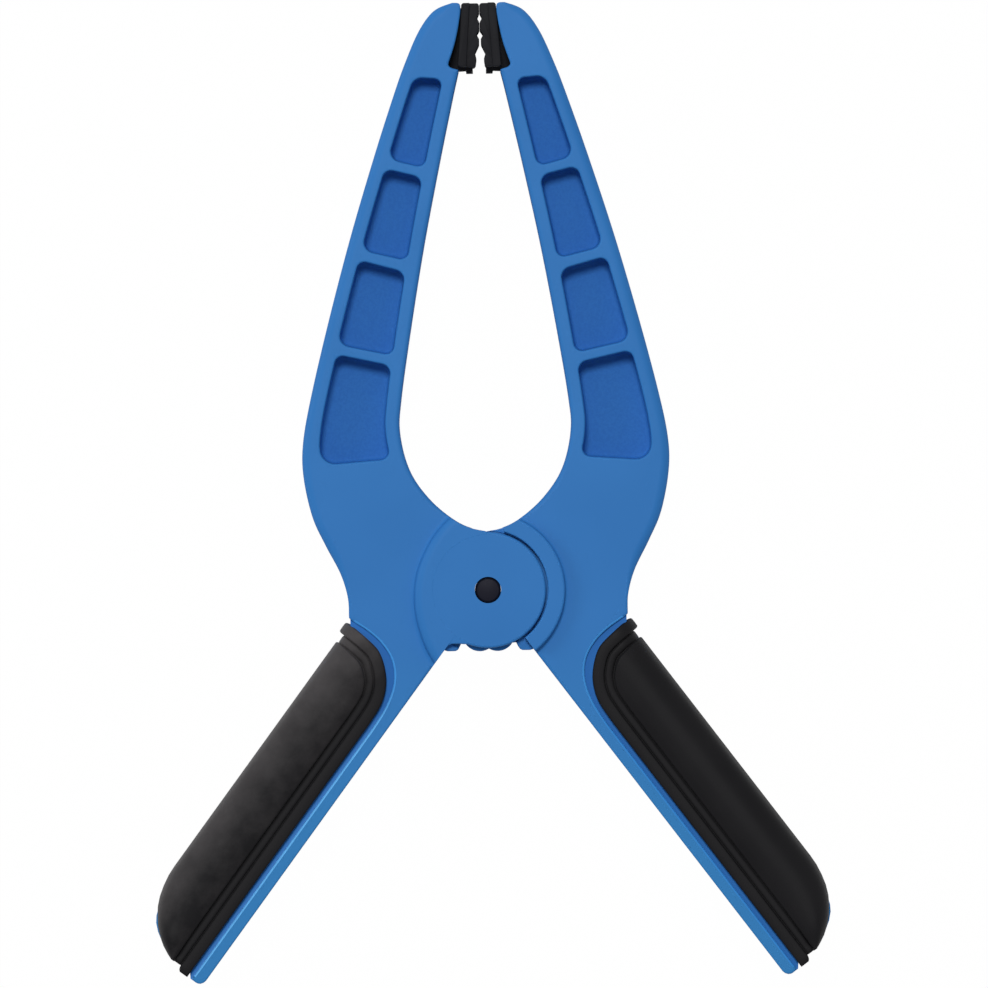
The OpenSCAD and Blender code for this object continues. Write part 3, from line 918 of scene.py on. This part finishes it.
def make_spring():
    """The wire as one closed round tube, drawn along its centre line ring by ring, with its ends drawn in."""
    line = wire_line()
    frames = []
    for i, p in enumerate(line):
        d = (line[min(i + 1, len(line) - 1)] - line[max(i - 1, 0)]).normalized()
        side = d.cross(Vector((0, 0, 1))).normalized()
        size = 0.78 if i in (0, len(line) - 1) else 1.0
        turn = Matrix((side, side.cross(d), d)).transposed().to_4x4()
        frames.append(Matrix.Translation(p) @ turn @ Matrix.Diagonal((size, size, 1, 1)))
    bm = bmesh.new()
    ring = bmesh.ops.create_circle(bm, segments=20, radius=WIRE_R)["verts"]
    bmesh.ops.transform(bm, matrix=frames[0], verts=ring)
    edges = bm.edges[:]
    for old, new in zip(frames, frames[1:]):
        made = bmesh.ops.extrude_edge_only(bm, edges=edges)["geom"]
        ring = [g for g in made if isinstance(g, bmesh.types.BMVert)]
        bmesh.ops.transform(bm, matrix=new @ old.inverted(), verts=ring)
        edges = [g for g in made if isinstance(g, bmesh.types.BMEdge)]
    close_holes(bm)
    return bm


# -------------------- finished pieces


def mark_finish(bm):
    """Marks, face by face, the textured pocket floors, which also carry painted shade, the moat round the
    grip, which carries painted shade, and its polished step, which carries a painted highlight.
    """
    floors = bm.faces.layers.float.new("pocket_floor")
    steps = bm.faces.layers.float.new("step_polish_and_highlight")
    moats = bm.faces.layers.float.new("grip_moat")
    moat = handle_plan(*through(MOAT_KEYS[1:], 12)) + [from_handle(u, STRIP_V) for u in range(43, 112)]
    # Heights over the middle plane, of the floors with their fillets, the moat's floor and the handle's face
    floor_top, moat_low, moat_top, face_level = 4.6, 9.4, 9.6, 10.49
    for face in bm.faces:
        middle = face.calc_center_median()
        level = abs(middle.z - MID)
        face.normal_update()
        if 20 < middle.y < 118.5 and level < floor_top and abs(face.normal.z) > 0.25:
            face[floors] = 1.0
        if middle.y < 4 and moat_top < level < face_level:
            gap = min((p - middle.to_2d()).length for p in moat)
            face[steps] = 1.0 if gap < 0.7 else 0.0
        if middle.y < 4 and moat_low < level < moat_top and abs(face.normal.z) > 0.9:
            face[moats] = 1.0


finished = []


def hand_over(name, bm, node, slot, body, weighted=False):
    """Turns a bmesh in millimetres into the finished piece that stands in for a node, in metres."""
    clean(bm)
    for face in bm.faces:
        face.smooth = True
    for edge in bm.edges:
        edge.smooth = len(edge.link_faces) == 2 and edge.calc_face_angle(0) < SMOOTH_BELOW
    bmesh.ops.scale(bm, verts=bm.verts, vec=(MM, MM, MM))
    piece = placed(name, bm)
    if weighted:
        even = piece.modifiers.new("even_faces", "WEIGHTED_NORMAL")
        even.keep_sharp = True
    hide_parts(node)
    if body:
        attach(piece, body)
    finished.append((piece, node, slot))
    return piece


arm_bm = make_arm()
bmesh.ops.triangulate(arm_bm, faces=[f for f in arm_bm.faces if len(f.verts) > 4])
mark_finish(arm_bm)
left_bm = turned_over(arm_bm.copy())
hand_over("right_arm_moulding", arm_bm, "right_arm", "blue_plastic", "moving_side", weighted=True)
hand_over("left_arm_moulding", left_bm, "left_arm", "blue_plastic", "fixed_side", weighted=True)

grip_bm = make_grip()
left_bm = turned_over(grip_bm.copy())
hand_over("right_soft_grip", grip_bm, "right_grip", "soft_grip", "moving_side")
hand_over("left_soft_grip", left_bm, "left_grip", "soft_grip", "fixed_side")

pad_bm = make_pad(RIGHT_BLOCK, (4.05, 135.35), (5.08, 121.15))
hand_over("right_rocking_pad", pad_bm, "right_jaw_pad", "pad_plastic", "right_pad")
left_bm = turned_over(make_pad(LEFT_BLOCK, (3.95, 135.3), (4.95, 121.15)))
hand_over("left_rocking_pad", left_bm, "left_jaw_pad", "pad_plastic", "left_pad")

hand_over("pivot_pin_turned", make_pin(), "pivot_pin", "pin_steel", "fixed_side")
spring = hand_over("spring_wound", make_spring(), "torsion_spring", "spring_steel", None)
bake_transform(spring)


# -------------------- materials

# The handles' direction, for what follows the left one
HANDLE_SIN, HANDLE_COS = math.sin(SPLAY), math.cos(SPLAY)


class Value:
    """A shader socket that takes part in sums."""

    def __init__(self, shader, socket):
        self.shader, self.socket = shader, socket

    def _sum(self, operation, a, b):
        return self.shader.node("ShaderNodeMath", {"operation": operation}, {0: a, 1: b})

    def __add__(self, other):
        return self._sum("ADD", self, other)

    __radd__ = __add__

    def __sub__(self, other):
        return self._sum("SUBTRACT", self, other)

    def __rsub__(self, other):
        return self._sum("SUBTRACT", other, self)

    def __mul__(self, other):
        return self._sum("MULTIPLY", self, other)

    __rmul__ = __mul__


class Shader:
    """A node tree, built node by node."""

    def __init__(self, tree):
        self.tree = tree

    def give(self, socket, value):
        """Links a socket to a value, or sets it to a number or a colour."""
        if isinstance(value, Value):
            self.tree.links.new(value.socket, socket)
        else:
            socket.default_value = value

    def node(self, kind, settings, inputs, output=0):
        """Adds a node with its settings and its sockets' values or links, and returns one of its outputs."""
        made = self.tree.nodes.new(kind)
        for key, value in settings.items():
            setattr(made, key, value)
        for key, value in inputs.items():
            self.give(made.inputs[key], value)
        return Value(self, made.outputs[output])

    def ray(self, kind):
        """1 for the rays of this kind, such as the camera's own."""
        return self.node("ShaderNodeLightPath", {}, {}, f"Is {kind} Ray")


class Finish(Shader):
    """A procedural material."""

    def __init__(self, name):
        self.material = bpy.data.materials.new(name)
        self.material.use_nodes = True
        super().__init__(self.material.node_tree)
        self.surface = self.tree.nodes["Principled BSDF"]
        self.place = self.node("ShaderNodeTexCoord", {}, {}, "Object")

    def along(self, axis):
        """Place along an axis of the clamp, in metres."""
        return self.node("ShaderNodeSeparateXYZ", {}, {"Vector": self.place}, axis)

    def across_left(self):
        """Place across the left handle, outwards from its inner edge, in metres."""
        return self.along("X") * -HANDLE_COS + self.along("Y") * HANDLE_SIN

    def down_left(self):
        """Place down the left handle, in metres."""
        return self.along("X") * -HANDLE_SIN - self.along("Y") * HANDLE_COS

    def marked(self, name):
        """How far a face carries a mark left by the modelling."""
        return self.node("ShaderNodeAttribute", {"attribute_name": name}, {}, "Fac")

    def noise(self, scale, detail, roughness=0.5):
        """Soft noise from 0 to 1."""
        inputs = {"Vector": self.place, "Scale": scale, "Detail": detail, "Roughness": roughness}
        return self.node("ShaderNodeTexNoise", {}, inputs, "Fac")

    def between(self, value, low, high):
        """0 where the value is low, 1 where it is high, and straight between them."""
        return self.node("ShaderNodeMapRange", {}, {"Value": value, "From Min": low, "From Max": high})

    def blend(self, factor, a, b):
        """Colour a where the factor is 0, b where it is 1."""
        return self.node("ShaderNodeMix", {"data_type": "RGBA"}, {0: factor, 6: a, 7: b}, 2)

    def bump(self, height, strength, distance):
        """A normal roughened by a height."""
        return self.node("ShaderNodeBump", {}, {"Height": height, "Strength": strength, "Distance": distance})

    def set(self, **values):
        """Gives the surface its values, and returns the finished material."""
        for key, value in values.items():
            self.give(self.surface.inputs[key.replace("_", " ")], value)
        return self.material


def moulded_blue():
    """Blue plastic: speckled pocket floors with painted shade, painted shade in the moat beside the grips,
    painted light on the left moat, and a polished step with a painted highlight.
    """
    f = Finish("moulded_blue_plastic")
    grain = f.noise(2600, 3)
    cloud = f.noise(38, 2)
    colour = f.blend(f.between(cloud, 0.3, 0.7), (0.0315, 0.180, 0.500, 1), (0.0360, 0.195, 0.532, 1))
    colour = f.blend(f.between(f.along("Y"), -0.012, -0.05), colour, (0.0335, 0.212, 0.515, 1))
    # Pocket floors: a real speckle and rougher grain, plus painted shade that makes them darker and bluer
    low = f.marked("pocket_floor")
    sparks = f.between(f.noise(1900, 1), 0.35, 0.65)
    colour = f.blend(low, colour, f.blend(sparks, (0.0290, 0.155, 0.488, 1), (0.0325, 0.171, 0.518, 1)))
    # Painted shade: the moat's floor beside the grips is painted darker
    moat = f.marked("grip_moat")
    colour = f.blend(moat * 0.75, colour, (0.0190, 0.150, 0.505, 1))
    left = f.between(f.along("X"), 0.002, -0.002)
    on_handle = f.between(f.along("Y"), -0.022, -0.032)
    # Painted light: the left moat is painted lighter along the handle's inner edge
    lit = moat * left * on_handle * f.between(f.across_left(), 0.0037, 0.0030)
    colour = f.blend(lit, colour, (0.062, 0.250, 0.640, 1))
    # Painted highlight: the polished step is painted bright, brightest along the left handle; its lower
    # roughness is real polish
    step = f.marked("step_polish_and_highlight")
    painted_step_highlight = f.blend(left, (0.045, 0.272, 0.72, 1), (0.146, 0.51, 1.0, 1))
    painted_step_highlight = f.blend(on_handle, (0.063, 0.32, 0.78, 1), painted_step_highlight)
    return f.set(
        Base_Color=f.blend(step, colour, painted_step_highlight),
        Specular_IOR_Level=0.1,
        Roughness=grain * 0.12 + low * 0.2 - step * 0.1 + 0.40,
        Normal=f.bump(grain + low * grain, 0.25, 0.00004),
    )


def soft_black():
    """Soft black of the grips, with a painted grey sheen on the left one's outer side and top."""
    f = Finish("soft_black_grip")
    grain = f.noise(3200, 3)
    cloud = f.noise(60, 3)
    colour = f.blend(f.between(cloud, 0.3, 0.7), (0.0042, 0.0040, 0.0050, 1), (0.0080, 0.0077, 0.0088, 1))
    across = f.across_left()
    # Painted sheen: the left grip's outer side and top are painted grey, broken up by noise
    edge = f.between(across, 0.0145, 0.0205)
    top = f.between(f.down_left(), 0.062, 0.030) * f.between(across, 0.008, 0.012)
    sheen_mottle = f.between(f.noise(170, 5, 0.6), 0.38, 0.66) * f.between(across, 0.0085, 0.0098)
    painted_sheen = (edge * 0.8 + top * 0.35) * (cloud * 0.9 + 0.45) + sheen_mottle * 0.26
    return f.set(
        Base_Color=f.blend(painted_sheen, colour, (0.060, 0.056, 0.058, 1)),
        Specular_IOR_Level=0.1,
        Roughness=cloud * 0.16 + 0.46,
        Normal=f.bump(grain, 0.3, 0.00004),
    )


def hard_black():
    """Hard black plastic of the jaw pads."""
    f = Finish("hard_black_pad")
    grain = f.noise(2600, 2)
    cloud = f.between(f.noise(120, 2), 0.3, 0.7)
    return f.set(
        Base_Color=f.blend(cloud, (0.0075, 0.0078, 0.010, 1), (0.011, 0.0115, 0.014, 1)),
        Specular_IOR_Level=0.08,
        Roughness=grain * 0.15 + 0.42,
        Normal=f.bump(grain, 0.3, 0.00004),
    )


def steel(name, scale, dark, light, rough, strength, **plain):
    """Steel with a fine grain; rough is how far its roughness varies, and its least."""
    f = Finish(name)
    grain = f.noise(scale, 3)
    return f.set(
        Base_Color=f.blend(grain, dark, light),
        Roughness=grain * rough[0] + rough[1],
        Normal=f.bump(grain, strength, 0.00003),
        **plain,
    )


def black_steel():
    """Blackened steel of the pin."""
    shades = (0.007, 0.0074, 0.014, 1), (0.011, 0.0115, 0.020, 1)
    return steel("blackened_pin", 1800, *shades, (0.2, 0.38), 0.2, Metallic=0.05, Specular_IOR_Level=0.07)


def wire_steel():
    """Bright spring wire."""
    shades = (0.36, 0.36, 0.37, 1), (0.50, 0.50, 0.51, 1)
    return steel("spring_wire", 900, *shades, (0.15, 0.28), 0.15, Metallic=1.0)


materials = {
    "blue_plastic": moulded_blue(),
    "soft_grip": soft_black(),
    "pad_plastic": hard_black(),
    "pin_steel": black_steel(),
    "spring_steel": wire_steel(),
}
for piece, node, slot in finished:
    for mesh in (piece.data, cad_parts[node].data):
        mesh.materials.clear()
        mesh.materials.append(materials[slot])

# -------------------- floor, light, camera

# Width of the picture at the clamp and the camera's distance, in metres, and how the clamp lies in it
FRAME_W = 0.2287
CAMERA_D = 4.0
AIM = Vector((0.00176, 0.02213, MID * MM))
ROLL = math.radians(-0.95)
WHITE = (1, 1, 1, 1)


def make_floor():
    """A pale floor just under the clamp, which the camera sees as almost white."""
    bm = bmesh.new()
    bmesh.ops.create_grid(bm, x_segments=1, y_segments=1, size=3.0)
    lift(bm, -0.0002)
    floor = placed("floor", bm)
    f = Finish("pale_floor")
    plain = f.set(Base_Color=(0.86, 0.86, 0.86, 1), Roughness=0.9)
    glow = f.node("ShaderNodeEmission", {}, {"Color": WHITE, "Strength": 1.0})
    lit = Value(f, f.surface.outputs[0])
    seen = f.node("ShaderNodeMixShader", {}, {0: f.ray("Camera") * 0.993, 1: lit, 2: glow})
    f.give(f.tree.nodes["Material Output"].inputs["Surface"], seen)
    floor.data.materials.append(plain)


def soft_light(name, place, aim, size, power):
    """A round lamp turned to what it lights."""
    lamp = bpy.data.lights.new(name, "AREA")
    lamp.shape = "DISK"
    lamp.size = size
    lamp.energy = power
    holder = in_scene(name, lamp)
    holder.location = place
    holder.rotation_mode = "QUATERNION"
    holder.rotation_quaternion = (Vector(aim) - Vector(place)).to_track_quat("-Z", "Y")


def make_world():
    """Even fill light from a grey surround, which is white to the camera and in gloss and glass."""
    world = bpy.data.worlds.new("studio")
    bpy.context.scene.world = world
    world.use_nodes = True
    s = Shader(world.node_tree)
    s.tree.nodes.remove(s.tree.nodes["Background"])

    def either(a, b):
        return s.node("ShaderNodeMath", {"operation": "MAXIMUM"}, {0: a, 1: b})

    seen = either(s.ray("Camera"), either(s.ray("Glossy"), s.ray("Transmission")))
    fill, white = (s.node("ShaderNodeBackground", {}, {"Color": WHITE, "Strength": k}) for k in (0.27, 1.0))
    surround = s.node("ShaderNodeMixShader", {}, {0: seen, 1: fill, 2: white})
    s.give(s.tree.nodes["World Output"].inputs["Surface"], surround)


def make_camera():
    """A long lens straight over the clamp."""
    data = bpy.data.cameras.new("camera")
    data.lens = data.sensor_width * CAMERA_D / FRAME_W
    data.clip_end = 20
    camera = in_scene("camera", data)
    camera.location = AIM + Vector((0, 0, CAMERA_D))
    camera.rotation_euler = (0, 0, ROLL)
    bpy.context.scene.camera = camera


make_floor()
make_world()
make_camera()
soft_light("key", (-0.16, 0.98, 2.93), (0, 0.02, 0), 0.75, 50.2)
soft_light("side", (-1.3, 0.45, 0.75), (0, 0.0, 0), 0.7, 4.5)
bpy.context.scene.view_settings.view_transform = "Standard"
